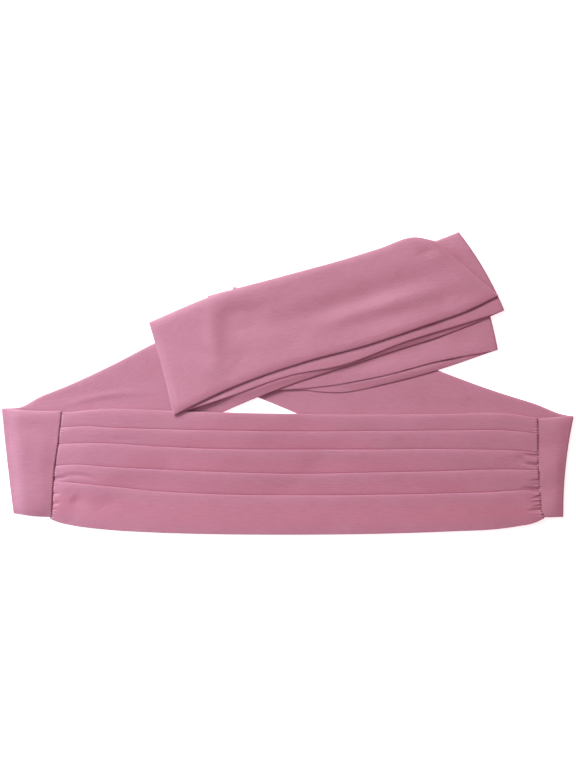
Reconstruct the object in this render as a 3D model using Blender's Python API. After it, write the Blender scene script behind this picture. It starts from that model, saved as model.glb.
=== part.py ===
"""A chiffon tie belt laid flat: a pleated front panel with a long tie sewn to each end.

Each tie turns behind at the outer fold, rises slantwise behind the panel and is folded back
and forth into a bundle above it. Lengths in the tables are millimetres, seen from above:
+X runs to the wearer's left, +Y away from the panel's hem, +Z up from the table.
"""

from collections import namedtuple

import bmesh
import bpy
import numpy as np

MM = 0.001

# Cloth
WALL = 1.0             # thickness of a ply
PLY_GAP = 0.45         # clear space between a ply and what it lies on
SEAM_GAP = 0.3         # clear space between two pieces along their seam
ACROSS = 9             # faces across a tie
COLUMN = 11.0          # length of a face along a tie

# Folds of the ties
FOLD_DEPTH = 1.6       # half width of a fold's loop, seen from above
FOLD_STEPS = 4         # faces round a loop
FOLD_LIFT = 1.1        # how far a ply stands up off the one below at a fold
FOLD_REACH = 22.0      # how far from the fold that lift dies away
LOOP_START = FOLD_DEPTH + WALL / 2

# Draping of one ply over the plies below
CELL = 2.0             # spacing of the height map
HALF_X = 320.0
HALF_Y = 180.0
CLEAR_REACH = 7.0      # a ply keeps its height this far past an edge below it
TIE_SLOPE = 0.17       # then it comes down at this slope
PANEL_SLOPE = 0.06
PANEL_TOP = -22.0      # nothing above this Y lies under the panel

# Pleats of the panel
PLEAT_PITCH = 1.36     # height from one ply of a pleat to the next
PLEAT_TUCK = 12.0      # how deep a pleat runs under itself
TUCK_SHARE = 0.57      # the same, as the most that it takes of a narrow band
DROP_SHARE = 0.35      # part of a band over which it comes down off its pleat
PLEAT_ARC = (0.0, 60.0, 120.0, 180.0)
LAST_BAND = (0.55, 0.68, 0.84, 1.0)
PANEL_FACE = 24.0      # longest face along the panel
GATHER_FACE = 4.5      # the same beside the end seams
GATHER_REACH = 27.0    # how far the gathers run in from an end seam

COLOURS = {
    "front_panel": (0.53, 0.21, 0.29),
    "tie_left_end": (0.56, 0.23, 0.31),
    "tie_left_rise": (0.56, 0.24, 0.32),
    "tie_left_back": (0.52, 0.21, 0.28),
    "tie_left_top": (0.58, 0.25, 0.33),
    "tie_right_end": (0.50, 0.20, 0.27),
    "tie_right_rise": (0.50, 0.19, 0.27),
    "tie_right_return": (0.48, 0.18, 0.25),
    "tie_right_under": (0.54, 0.22, 0.30),
}
ROUGHNESS = 0.82

# A fold line: its two ends, how far its middle bows outward, and which way is outward along X.
Fold = namedtuple("Fold", "upper_x upper_y lower_x lower_y bow outward")
OUTER_LEFT = Fold(-300.5, -26.5, -288.0, -137.0, 0.5, -1)
OUTER_RIGHT = Fold(300.0, -34.5, 289.0, -140.5, -3.0, 1)
LEFT_TURN = Fold(-146.0, 64.0, -120.0, -33.0, -1.0, -1)
RIGHT_TURN = Fold(179.0, 159.0, 227.0, 76.5, 3.0, 1)
UNDER_LEFT_TURN = Fold(-58.0, 101.0, -65.0, -5.0, 0.0, -1)
UNDER_RIGHT_TURN = Fold(195.5, 128.5, 220.5, 35.0, 1.5, 1)

# A station along a tie: where its upper and lower edges pass.
Station = namedtuple("Station", "upper_x upper_y lower_x lower_y")
LEFT_END = (
    Station(-270.0, -28.5, -267.5, -139.5),
)
RIGHT_END = (
    Station(282.5, -35.5, 278.5, -140.5),
)
LEFT_RISE = (
    Station(-281.0, -25.0, -265.5, -126.0),
    Station(-262.0, -15.0, -241.5, -114.0),
    Station(-232.5, -3.0, -202.5, -95.5),
    Station(-182.0, 20.5, -147.0, -68.0),
    Station(-143.5, 40.5, -106.0, -48.0),
    Station(-52.5, 79.0, -17.5, -9.0),
    Station(54.5, 114.5, 88.5, 26.5),
    Station(154.0, 149.0, 187.0, 59.5),
)
RIGHT_RISE = (
    Station(292.0, -33.5, 274.0, -134.0),
    Station(259.0, -21.5, 228.0, -117.0),
    Station(218.0, -8.5, 183.0, -99.5),
    Station(158.0, 13.5, 122.0, -76.0),
    Station(75.5, 46.5, 40.0, -44.5),
    Station(12.5, 72.0, -21.5, -19.0),
    Station(-40.0, 93.5, -50.5, -8.0),
)
RIGHT_RETURN = (
    Station(2.0, 93.5, 8.5, -6.5),
    Station(44.0, 90.5, 57.5, -9.5),
    Station(81.0, 96.5, 105.0, 0.0),
    Station(133.5, 110.0, 158.0, 14.0),
)
RIGHT_UNDER = (
    Station(138.5, 117.0, 159.5, 23.5),
    Station(81.0, 104.0, 100.0, 8.0),
    Station(12.5, 97.0, 23.0, -5.0),
    Station(-61.5, 97.5, -45.0, -5.0),
    Station(-84.5, 91.5, -69.0, -1.0),
)
LEFT_BACK = (
    Station(154.0, 148.5, 183.0, 62.0),
    Station(95.0, 136.5, 124.5, 44.0),
    Station(36.0, 112.5, 59.0, 19.5),
    Station(-24.0, 98.0, 2.0, 8.0),
    Station(-87.0, 81.0, -66.0, -15.5),
)
LEFT_TOP = (
    Station(-84.5, 89.5, -61.5, -5.5),
    Station(-4.0, 112.5, 21.0, 23.5),
    Station(54.5, 128.5, 84.5, 40.5),
    Station(95.0, 141.0, 141.0, 59.5),
    Station(132.5, 153.0, 189.0, 76.5),
    Station(154.0, 149.0, 220.5, 92.0),
)

# A section of the panel: where its upper edge, the edges of its four pleats and its hem pass.
Section = namedtuple("Section", "x top pleat_1 pleat_2 pleat_3 pleat_4 hem")
PANEL = (
    Section(-242.0, -30.0, -46.5, -64.5, -88.0, -102.5, -142.5),
    Section(-233.0, -30.0, -46.0, -63.5, -86.0, -103.0, -146.0),
    Section(-218.0, -28.5, -44.5, -62.5, -85.0, -104.0, -149.5),
    Section(-187.0, -26.5, -46.0, -62.5, -87.0, -107.0, -153.5),
    Section(-140.0, -28.0, -47.5, -65.5, -89.5, -112.0, -156.5),
    Section(-71.0, -30.5, -49.0, -68.5, -92.5, -116.0, -158.5),
    Section(13.0, -32.0, -50.0, -69.0, -94.5, -117.0, -159.0),
    Section(97.0, -32.5, -49.5, -69.0, -93.0, -116.5, -158.0),
    Section(170.0, -32.0, -49.0, -68.5, -91.5, -115.0, -155.5),
    Section(217.0, -31.0, -48.5, -69.5, -90.0, -113.5, -153.0),
    Section(238.0, -32.5, -49.5, -70.0, -90.0, -112.0, -150.0),
    Section(254.0, -35.0, -51.5, -71.5, -90.5, -112.0, -146.5),
    Section(264.0, -36.5, -53.0, -73.0, -90.5, -114.0, -141.5),
)

# An end seam of the panel: its x at heights down the panel, and the gathers that start from it.
SeamPoint = namedtuple("SeamPoint", "y x")
LEFT_SEAM = (
    SeamPoint(-29.0, -237.5),
    SeamPoint(-64.5, -241.4),
    SeamPoint(-88.0, -244.8),
    SeamPoint(-122.0, -247.2),
    SeamPoint(-140.5, -248.0),
)
RIGHT_SEAM = (
    SeamPoint(-36.5, 261.0),
    SeamPoint(-73.0, 261.3),
    SeamPoint(-114.0, 263.2),
    SeamPoint(-132.0, 265.3),
    SeamPoint(-140.5, 267.5),
)
Gather = namedtuple("Gather", "y half_width height")
LEFT_GATHERS = (
    Gather(-38.0, 4.0, 0.5),
    Gather(-56.0, 5.0, 0.5),
    Gather(-76.0, 6.0, 0.7),
    Gather(-110.0, 4.5, 0.8),
    Gather(-122.0, 4.5, 0.7),
    Gather(-133.0, 4.0, 0.5),
)
RIGHT_GATHERS = (
    Gather(-44.0, 4.0, 0.4),
    Gather(-62.0, 5.0, 0.6),
    Gather(-81.0, 5.0, 0.7),
    Gather(-97.0, 4.0, 0.7),
    Gather(-125.0, 4.5, 0.8),
    Gather(-135.0, 3.5, 0.5),
)

# A soft ridge in a tie: its two ends, how far it spreads each side, and its height.
Ridge = namedtuple("Ridge", "x1 y1 x2 y2 half_width height")
LEFT_TOP_RIDGES = (
    Ridge(-74.0, 84.0, -72.0, 12.0, 20.0, 0.8),
    Ridge(-52.0, 86.0, 110.0, 134.0, 17.0, 0.7),
    Ridge(16.0, 62.0, 166.0, 101.0, 19.0, 1.0),
)
LEFT_RISE_RIDGES = (
    Ridge(-258.0, -14.0, -160.0, 14.0, 18.0, 1.1),
)
NO_RIDGES = ()


def smooth_through(stops, values, at):
    """A smooth curve through the values at the stops, read at each place in at."""
    stops = np.asarray(stops, float)
    values = np.asarray(values, float)
    slopes = np.gradient(values, stops, axis=0)
    span = np.clip(np.searchsorted(stops, at, side="right") - 1, 0, len(stops) - 2)
    width = stops[span + 1] - stops[span]
    t = (at - stops[span]) / width
    if values.ndim == 2:
        t = t[:, None]
        width = width[:, None]
    start = (2 * t**3 - 3 * t**2 + 1) * values[span] + (t**3 - 2 * t**2 + t) * width * slopes[span]
    end = (3 * t**2 - 2 * t**3) * values[span + 1] + (t**3 - t**2) * width * slopes[span + 1]
    return start + end


def smooth_step(t):
    t = np.clip(t, 0.0, 1.0)
    return t * t * (3 - 2 * t)


class HeightMap:
    """The top of everything laid so far, on a square grid seen from above."""

    def __init__(self):
        self.x = np.arange(-HALF_X, HALF_X + CELL, CELL)
        self.y = np.arange(-HALF_Y, HALF_Y + CELL, CELL)
        self.top = np.zeros((len(self.x), len(self.y)))

    def cells(self, x, y):
        """The cell below each point, and how far the point lies across it."""
        across = (np.asarray(x) + HALF_X) / CELL
        along = (np.asarray(y) + HALF_Y) / CELL
        column = np.clip(across.astype(int), 0, len(self.x) - 2)
        row = np.clip(along.astype(int), 0, len(self.y) - 2)
        return column, row, across - column, along - row

    def lay(self, points):
        """Raises the map to the upper side of a ply, given as a grid of points."""
        steps = np.linspace(0.0, 1.0, int(COLUMN / CELL) * 2)
        a, b, c, d = points[:-1, :-1], points[1:, :-1], points[:-1, 1:], points[1:, 1:]
        for u in steps:
            for v in steps:
                spot = (a * (1 - u) + b * u) * (1 - v) + (c * (1 - u) + d * u) * v
                column, row, _, _ = self.cells(spot[..., 0], spot[..., 1])
                for i in (0, 1):
                    for j in (0, 1):
                        np.maximum.at(self.top, (column + i, row + j), spot[..., 2])

    def cover(self, slope, limit_y):
        """The lowest surface that clears the map up to the limit, no steeper than the slope."""
        top = np.where(self.y < limit_y, self.top, 0.0)
        reach = int((CLEAR_REACH + top.max() / slope) / CELL) + 1
        padded = np.pad(top, reach)
        cover = top.copy()
        wide, deep = self.top.shape
        for i in range(-reach, reach + 1):
            for j in range(-reach, reach + 1):
                drop = slope * max(0.0, CELL * np.hypot(i, j) - CLEAR_REACH)
                moved = padded[reach + i:reach + i + wide, reach + j:reach + j + deep]
                np.maximum(cover, moved - drop, out=cover)
        return cover

    def read(self, cover, x, y):
        column, row, u, v = self.cells(x, y)
        near = cover[column, row] * (1 - u) + cover[column + 1, row] * u
        far = cover[column, row + 1] * (1 - u) + cover[column + 1, row + 1] * u
        return near * (1 - v) + far * v


def resting_height(below, x, y, slope, limit_y=HALF_Y):
    """Height of the underside of a ply laid over what is below: the floor, or a ply and its gap."""
    cover = below.cover(slope, limit_y)
    height = below.read(cover, x, y)
    return height + PLY_GAP * smooth_step(height / WALL)


def fold_points(fold, inset):
    """Points down a fold line, each moved inward, and the outward direction."""
    upper = np.array([fold.upper_x, fold.upper_y])
    lower = np.array([fold.lower_x, fold.lower_y])
    line = lower - upper
    outward = np.array([-line[1], line[0]]) / np.linalg.norm(line)
    outward *= fold.outward * np.sign(outward[0])
    down = np.linspace(0.0, 1.0, ACROSS + 1)[:, None]
    bow = fold.bow * 4 * down * (1 - down)
    return upper + down * line + (bow - inset) * outward, outward


def station_points(station):
    upper = np.array([station.upper_x, station.upper_y])
    lower = np.array([station.lower_x, station.lower_y])
    down = np.linspace(0.0, 1.0, ACROSS + 1)[:, None]
    return upper + down * (lower - upper)


def tie_plan(rows):
    """A tie's stretch seen from above, as columns of points along it, and each column's distance."""
    rows = np.array(rows)
    middle = rows[:, ACROSS // 2]
    distance = np.concatenate(([0.0], np.cumsum(np.linalg.norm(np.diff(middle, axis=0), axis=1))))
    columns = int(round(distance[-1] / COLUMN)) + 1
    at = np.linspace(0.0, distance[-1], columns)
    flat = smooth_through(distance, rows.reshape(len(rows), -1), at)
    return flat.reshape(columns, ACROSS + 1, 2), at


def ridge_heights(ridges, x, y):
    """Height that the soft ridges add at each point."""
    height = np.zeros_like(x)
    for ridge in ridges:
        run = np.array([ridge.x2 - ridge.x1, ridge.y2 - ridge.y1])
        length = np.linalg.norm(run)
        run /= length
        along = (x - ridge.x1) * run[0] + (y - ridge.y1) * run[1]
        aside = (x - ridge.x1) * run[1] - (y - ridge.y1) * run[0]
        past = np.maximum(np.maximum(-along, along - length), 0.0)
        away = np.hypot(aside, past)
        height += ridge.height * smooth_step(1 - away / ridge.half_width)
    return height


def grid(x, y, z):
    return np.stack([x, y, z], axis=-1)


def tie_stretch(below, rows, ridges, lift_start=False, lift_end=False):
    """Upper and lower points of a stretch of tie lying on what is below."""
    plan, distance = tie_plan(rows)
    x, y = plan[..., 0], plan[..., 1]
    under = resting_height(below, x, y, TIE_SLOPE)
    under += ridge_heights(ridges, x, y)
    if lift_start:
        under += FOLD_LIFT * smooth_step(1 - distance / FOLD_REACH)[:, None]
    if lift_end:
        under += FOLD_LIFT * smooth_step(1 - (distance[-1] - distance) / FOLD_REACH)[:, None]
    return grid(x, y, under + WALL), grid(x, y, under)


def fold_loop(fold, over, under):
    """Outer and inner points of the loop from a ply's edge, round a fold, to the ply over it."""
    start, outward = fold_points(fold, LOOP_START)
    top = over[:, 2]
    bottom = under[:, 2]
    middle = (top + bottom) / 2
    half_height = (top - bottom) / 2
    outer = []
    inner = []
    for turn in np.linspace(np.pi, 0.0, FOLD_STEPS + 1)[:-1]:
        out = FOLD_DEPTH * np.sin(turn)
        rise = half_height * np.cos(turn)
        normal_out = np.sin(turn) / FOLD_DEPTH
        normal_up = np.cos(turn) / half_height
        size = np.hypot(normal_out, normal_up)
        for side, points in ((WALL / 2, outer), (-WALL / 2, inner)):
            plan = start + (out + side * normal_out / size)[:, None] * outward
            points.append(grid(plan[:, 0], plan[:, 1], middle + rise + side * normal_up / size))
    return np.array(outer), np.array(inner)


def middle_of(points, column):
    """The mid-wall points of a stretch at one of its columns."""
    upper, lower = points
    return (upper[column] + lower[column]) / 2


def folded_stretch(below, fold, before, rows, ridges, lift_end=False):
    """A stretch that starts with the loop round a fold, from the edge of the stretch before."""
    start, _ = fold_points(fold, LOOP_START)
    upper, lower = tie_stretch(below, [start, *rows], ridges, lift_start=True, lift_end=lift_end)
    outer, inner = fold_loop(fold, middle_of((upper, lower), 0), before)
    return np.concatenate((outer, upper)), np.concatenate((inner, lower))


def pleat_path(section):
    """The panel's mid-wall line in a cross section: distance y and height, from top edge to hem."""
    radius = PLEAT_PITCH / 2
    low = WALL / 2
    edges = [section.pleat_1, section.pleat_2, section.pleat_3, section.pleat_4, section.hem]
    path = [(section.top, low)]
    for edge, following in zip(edges[:-1], edges[1:]):
        band = edge - following
        tuck = min(PLEAT_TUCK, TUCK_SHARE * band)
        fold_y = edge - WALL / 2 - radius
        tuck_y = edge - tuck
        for turn in np.radians(PLEAT_ARC):
            path.append((tuck_y - radius * np.sin(turn), low + radius * (1 - np.cos(turn))))
        for turn in np.radians(PLEAT_ARC):
            height = low + PLEAT_PITCH + radius * (1 - np.cos(turn))
            path.append((fold_y + radius * np.sin(turn), height))
        rest_y = tuck_y - radius - WALL / 2 - DROP_SHARE * band
        for share in (0.0, 0.33, 0.67, 1.0):
            y = tuck_y + share * (rest_y - tuck_y)
            path.append((y, low + 2 * PLEAT_PITCH * (1 - smooth_step(share))))
    start_y = path[-1][0]
    for share in LAST_BAND:
        path.append((start_y + (section.hem - start_y) * share, low))
    return np.array(path)


def wall_offsets(path):
    """Unit normals of a cross section's line, pointing to its upper side at the top edge."""
    run = np.gradient(path, axis=0)
    run /= np.linalg.norm(run, axis=1)[:, None]
    return np.stack([run[:, 1], -run[:, 0]], axis=1)


def seam_x(seam, y):
    rows = np.array(sorted(seam))
    return smooth_through(rows[:, 0], rows[:, 1], np.clip(y, rows[0, 0], rows[-1, 0]))


def seam_points(seam, gap):
    """Points down a seam, each moved along X by the gap."""
    y = np.linspace(seam[0].y, seam[-1].y, ACROSS + 1)
    return np.stack([seam_x(seam, y) + gap, y], axis=1)


def panel_stations():
    """Shares of the way along the panel, closer together beside the end seams."""
    length = PANEL[-1].x - PANEL[0].x
    near = np.arange(0.0, GATHER_REACH, GATHER_FACE) / length
    first = GATHER_REACH / length
    middle = np.linspace(first, 1 - first, int((length - 2 * GATHER_REACH) / PANEL_FACE) + 2)
    return np.concatenate((near, middle, (1 - near)[::-1]))


def gather_heights(gathers, y, away):
    """Height of the small waves beside an end seam, at a distance away from it."""
    height = np.zeros_like(y)
    fade = smooth_step(away / GATHER_FACE) * smooth_step(1 - away / GATHER_REACH)
    for gather in gathers:
        height += gather.height * smooth_step(1 - np.abs(y - gather.y) / gather.half_width) * fade
    return height


def panel_wall(below):
    """Upper and lower points of the pleated panel lying on what is below."""
    shares = panel_stations()
    table = np.array(PANEL)
    x_at = table[0, 0] + shares * (table[-1, 0] - table[0, 0])
    sections = smooth_through(table[:, 0], table, x_at)
    paths = [pleat_path(Section(*row)) for row in sections]
    normals = np.array([wall_offsets(path) for path in paths])
    y, height = np.moveaxis(np.array(paths), -1, 0)
    left = seam_x(LEFT_SEAM, y)
    right = seam_x(RIGHT_SEAM, y)
    x = left + shares[:, None] * (right - left)
    base = resting_height(below, x, y, PANEL_SLOPE, PANEL_TOP)
    base += gather_heights(LEFT_GATHERS, y, x - left)
    base += gather_heights(RIGHT_GATHERS, y, right - x)
    sides = []
    for side in (WALL / 2, -WALL / 2):
        across = y + side * normals[..., 0]
        up = base + height + side * normals[..., 1]
        sides.append(grid(x, across, up))
    return sides


def material(name):
    made = bpy.data.materials.new(name)
    made.use_nodes = True
    shader = made.node_tree.nodes["Principled BSDF"]
    shader.inputs["Base Color"].default_value = (*COLOURS[name], 1.0)
    shader.inputs["Roughness"].default_value = ROUGHNESS
    shader.inputs["Metallic"].default_value = 0.0
    return made


def sheet_object(name, wall):
    """One closed solid between two grids of points, with a rim along all four sides."""
    upper, lower = wall
    columns, rows = upper.shape[:2]
    mesh = bmesh.new()
    top = [[mesh.verts.new(point * MM) for point in column] for column in upper]
    bottom = [[mesh.verts.new(point * MM) for point in column] for column in lower]
    for i in range(columns - 1):
        for j in range(rows - 1):
            mesh.faces.new((top[i][j], top[i][j + 1], top[i + 1][j + 1], top[i + 1][j]))
            mesh.faces.new((bottom[i][j], bottom[i + 1][j], bottom[i + 1][j + 1], bottom[i][j + 1]))
    for i in range(columns - 1):
        mesh.faces.new((top[i][0], top[i + 1][0], bottom[i + 1][0], bottom[i][0]))
        mesh.faces.new((top[i + 1][-1], top[i][-1], bottom[i][-1], bottom[i + 1][-1]))
    for j in range(rows - 1):
        mesh.faces.new((top[0][j + 1], top[0][j], bottom[0][j], bottom[0][j + 1]))
        mesh.faces.new((top[-1][j], top[-1][j + 1], bottom[-1][j + 1], bottom[-1][j]))
    bmesh.ops.triangulate(mesh, faces=mesh.faces)
    bmesh.ops.recalc_face_normals(mesh, faces=mesh.faces)
    data = bpy.data.meshes.new(name)
    mesh.to_mesh(data)
    mesh.free()
    data.shade_smooth()
    data.materials.append(material(name))
    made = bpy.data.objects.new(name, data)
    bpy.context.scene.collection.objects.link(made)
    return made


def build_belt():
    """Lays the plies from the lowest to the highest, each on all those before it."""
    below = HeightMap()
    edge = LOOP_START + SEAM_GAP

    rows = [
        fold_points(OUTER_RIGHT, edge)[0],
        *map(station_points, RIGHT_RISE),
        fold_points(UNDER_LEFT_TURN, edge)[0],
    ]
    right_rise = tie_stretch(below, rows, NO_RIDGES)
    below.lay(right_rise[0])

    rows = [*map(station_points, RIGHT_RETURN), fold_points(UNDER_RIGHT_TURN, edge)[0]]
    before = middle_of(right_rise, -1)
    right_return = folded_stretch(below, UNDER_LEFT_TURN, before, rows, NO_RIDGES)
    below.lay(right_return[0])

    rows = [*map(station_points, RIGHT_UNDER)]
    before = middle_of(right_return, -1)
    right_under = folded_stretch(below, UNDER_RIGHT_TURN, before, rows, NO_RIDGES)
    below.lay(right_under[0])

    rows = [
        fold_points(OUTER_LEFT, edge)[0],
        *map(station_points, LEFT_RISE),
        fold_points(RIGHT_TURN, edge)[0],
    ]
    left_rise = tie_stretch(below, rows, LEFT_RISE_RIDGES)
    below.lay(left_rise[0])

    rows = [*map(station_points, LEFT_END), seam_points(LEFT_SEAM, -SEAM_GAP)]
    left_end = folded_stretch(below, OUTER_LEFT, middle_of(left_rise, 0), rows, NO_RIDGES)
    rows = [*map(station_points, RIGHT_END), seam_points(RIGHT_SEAM, SEAM_GAP)]
    right_end = folded_stretch(below, OUTER_RIGHT, middle_of(right_rise, 0), rows, NO_RIDGES)
    panel = panel_wall(below)
    for wall in (left_end, right_end, panel):
        below.lay(wall[0])

    rows = [*map(station_points, LEFT_BACK), fold_points(LEFT_TURN, edge)[0]]
    before = middle_of(left_rise, -1)
    left_back = folded_stretch(below, RIGHT_TURN, before, rows, NO_RIDGES)
    below.lay(left_back[0])

    rows = [*map(station_points, LEFT_TOP)]
    before = middle_of(left_back, -1)
    left_top = folded_stretch(below, LEFT_TURN, before, rows, LEFT_TOP_RIDGES)

    sheet_object("front_panel", panel)
    sheet_object("tie_left_end", left_end)
    sheet_object("tie_left_rise", left_rise)
    sheet_object("tie_left_back", left_back)
    sheet_object("tie_left_top", left_top)
    sheet_object("tie_right_end", right_end)
    sheet_object("tie_right_rise", right_rise)
    sheet_object("tie_right_return", right_return)
    sheet_object("tie_right_under", right_under)


def main():
    for old in list(bpy.data.objects):
        bpy.data.objects.remove(old, do_unlink=True)
    build_belt()


main()
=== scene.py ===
"""The looks of the chiffon tie belt: each tie is one continuous strip of soft cloth, folded back
and forth, and the panel one pleated sheet. Lengths are millimetres, seen from above in the
frame's own directions, except where a comment says metres."""

import math
from collections import namedtuple

import bmesh
import bpy
import numpy as np
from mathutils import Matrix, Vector
from mathutils.bvhtree import BVHTree


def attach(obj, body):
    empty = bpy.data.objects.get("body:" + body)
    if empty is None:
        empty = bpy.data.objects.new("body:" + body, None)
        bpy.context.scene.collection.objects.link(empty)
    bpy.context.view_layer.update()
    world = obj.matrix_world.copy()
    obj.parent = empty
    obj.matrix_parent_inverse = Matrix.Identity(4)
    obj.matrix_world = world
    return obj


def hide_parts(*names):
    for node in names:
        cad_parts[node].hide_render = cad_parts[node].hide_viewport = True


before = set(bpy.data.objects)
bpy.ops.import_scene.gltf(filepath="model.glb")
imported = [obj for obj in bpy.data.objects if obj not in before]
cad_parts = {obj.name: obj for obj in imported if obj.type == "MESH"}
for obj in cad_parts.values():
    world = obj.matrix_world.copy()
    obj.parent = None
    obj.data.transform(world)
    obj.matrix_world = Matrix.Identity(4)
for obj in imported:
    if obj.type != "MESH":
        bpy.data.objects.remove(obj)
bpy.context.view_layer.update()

MM = 0.001               # in metres
TINY = 1e-9              # the least length that is divided by
BODY = "root"

# ---------------------------------------------------------------- camera, floor and light

PHOTO_MM_PER_PIXEL = 1.05
PHOTO_HEIGHT = 768               # pixels
PHOTO_CENTRE = (0.1, -0.8)       # what the middle of the picture looks at
LENS = 100.0                     # focal length
SENSOR = 36.0                    # the sensor's longer side
FAR_CLIP = 20.0                  # metres

FLOOR_SIZE = 12.0                # metres
FLOOR_DROP = 0.1                 # how far it lies below the lowest cloth
FLOOR_LOOK = {
    "Base Color": (0.93, 0.93, 0.93, 1.0),
    "Roughness": 0.9,
    "Specular IOR Level": 0.1,
    "Emission Color": (1.0, 1.0, 1.0, 1.0),
    "Emission Strength": 0.7,
}
WORLD_LOOK = {"Color": (0.95, 0.5, 0.53, 1.0), "Strength": 0.31}

# A square soft light: its direction from the belt, its distance and side in metres, its watts
# and its colour.
Lamp = namedtuple("Lamp", "name towards distance side watts colour")
LAMPS = (
    Lamp("key", (-0.53, 0.58, 0.60), 4.0, 1.45, 204.0, (0.96, 0.985, 1.0)),
    Lamp("top", (0.1, 0.1, 1.0), 3.0, 2.2, 4.0, (1.0, 1.0, 1.0)),
    Lamp("window", (-0.8, -0.15, 0.42), 1.1, 0.5, 4.8, (0.64, 0.82, 1.0)),
)


def set_inputs(shader, look):
    """Sets the sockets that the look names to its values."""
    for socket, value in look.items():
        shader.inputs[socket].default_value = value


def new_material(name, look):
    """A material whose shader has the look's values, its node tree and that shader."""
    material = bpy.data.materials.new(name)
    material.use_nodes = True
    tree = material.node_tree
    shader = tree.nodes["Principled BSDF"]
    set_inputs(shader, look)
    return material, tree, shader


def add_camera():
    """Straight above, from as far as the long lens needs to frame the photograph's height."""
    data = bpy.data.cameras.new("camera")
    data.lens = LENS
    data.sensor_width = SENSOR
    height = PHOTO_HEIGHT * PHOTO_MM_PER_PIXEL * MM * LENS / SENSOR
    camera = bpy.data.objects.new("camera", data)
    camera.location = (PHOTO_CENTRE[0] * MM, PHOTO_CENTRE[1] * MM, height)
    data.clip_end = FAR_CLIP
    bpy.context.scene.collection.objects.link(camera)
    bpy.context.scene.camera = camera


def add_lamp(lamp):
    """Puts a lamp in its direction from the belt, turned to face it."""
    data = bpy.data.lights.new(lamp.name, "AREA")
    data.size = lamp.side
    data.energy = lamp.watts
    data.color = lamp.colour
    light = bpy.data.objects.new(lamp.name, data)
    direction = Vector(lamp.towards).normalized()
    light.location = direction * lamp.distance
    light.rotation_mode = "QUATERNION"
    light.rotation_quaternion = direction.to_track_quat("Z", "Y")
    bpy.context.scene.collection.objects.link(light)


def add_floor():
    bpy.ops.mesh.primitive_plane_add(size=FLOOR_SIZE, location=(0, 0, -FLOOR_DROP * MM))
    floor = bpy.context.object
    floor.name = "floor"
    material, _, _ = new_material("pale_floor", FLOOR_LOOK)
    floor.data.materials.append(material)


def add_studio():
    add_camera()
    add_floor()
    world = bpy.data.worlds.new("studio")
    world.use_nodes = True
    set_inputs(world.node_tree.nodes["Background"], WORLD_LOOK)
    bpy.context.scene.world = world
    for lamp in LAMPS:
        add_lamp(lamp)
    bpy.context.scene.view_settings.view_transform = "Standard"


# ---------------------------------------------------------------- the belt's measures

TIE_WIDTH = 96.0
TIE_THICK = 1.1          # a tie is a soft tube of cloth, pressed flat
TIE_GAP = 0.1            # between a tie's edges and what it lies on
TIE_PUFF = 0.3           # and the air that holds it up between them
TOP_GAP = 1.2            # the gap under the top stretch, which lies looser
TOUCH_EASE = 0.2         # how softly a trough flattens where it comes down on what is below
TIE_ROLL = 2.6           # over which a tie's edge rounds down
TIE_STEP = 3.5           # spacing of points along a tie
ACROSS_STEP = 1.05       # and across it
EDGE_STEPS = (0.0, 0.06, 0.22, 0.5, 0.95, 1.7)   # points in from an edge that rounds down
SIDE_REACH = 9.0         # from a tie's long edge to its full puff
CREASE_ENDS = (0.04, 0.96)       # shares of its way past which a crease doesn't fade further

FOLD_DEPTH = 1.9         # how far the loop round a fold bulges out
FOLD_STEPS = 14          # and the steps that it turns in
LOOP_START = FOLD_DEPTH + TIE_THICK / 2          # so that its outer side meets the fold line

CELL = 1.5               # of the height map
HALF_X = 315.0           # how far the map reaches from the middle
HALF_Y = 172.5
LAY_STEPS = 5            # places read along each side of a face of the ply that is laid
CLEAR_REACH = 6.0        # how far aside a ply keeps clear of what is below it
TIE_SLOPE = 0.12         # how steeply a tie comes down past an edge below it
TOP_SLOPE = 0.07         # and its top stretch
PANEL_SLOPE = 0.05       # and the panel
PANEL_TOP = -22.0        # nothing above this Y lies under the panel

PANEL_THICK = 0.35
PANEL_GAP = 0.3          # between the panel and what it lies on
PLEAT_PITCH = 0.55       # from one layer of a pleat to the next
SEAM_PITCH = 0.36        # the pleats are pressed together in the end seams
PINCH_REACH = 14.0       # and less and less up to this far in from the panel's ends
PLEAT_TUCK = 10.0        # how far the cloth runs on under the next band
TUCK_SHARE = 0.45        # but no further than this share of that band
HEM_TUCK = 9.0           # the panel's long edges are turned under
HEM_PITCH = 0.8          # from the hem's lower layer to its upper one
TOP_PITCH = 0.45         # and at the top edge
CROWN = 0.9              # a band rises this much just inside its fold
CROWN_REACH = 3.5        # over about this far
CROWN_FADE = 0.8         # the power that takes it down again by the band's other edge
DIP = 0.4                # and it dips this much where it goes under the next fold
DIP_REACH = 0.8          # over about this far
ARC_STEPS = 5            # in the half circle of a pleat's fold
BAND_ROWS = 34           # rows of points down a band
LAST_BAND_ROWS = 64      # and down the last one, which is the widest
BAND_EASE = 0.08         # rows lie closer together at a band's two edges
TUCK_ROWS = 4            # rows of points down a layer that is tucked under
PANEL_STEP = 5.0         # spacing of points along the panel
SEAM_STEP = 0.9          # and beside its end seams
SEAM_ZONE = 27.0         # up to this far in from them

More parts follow.
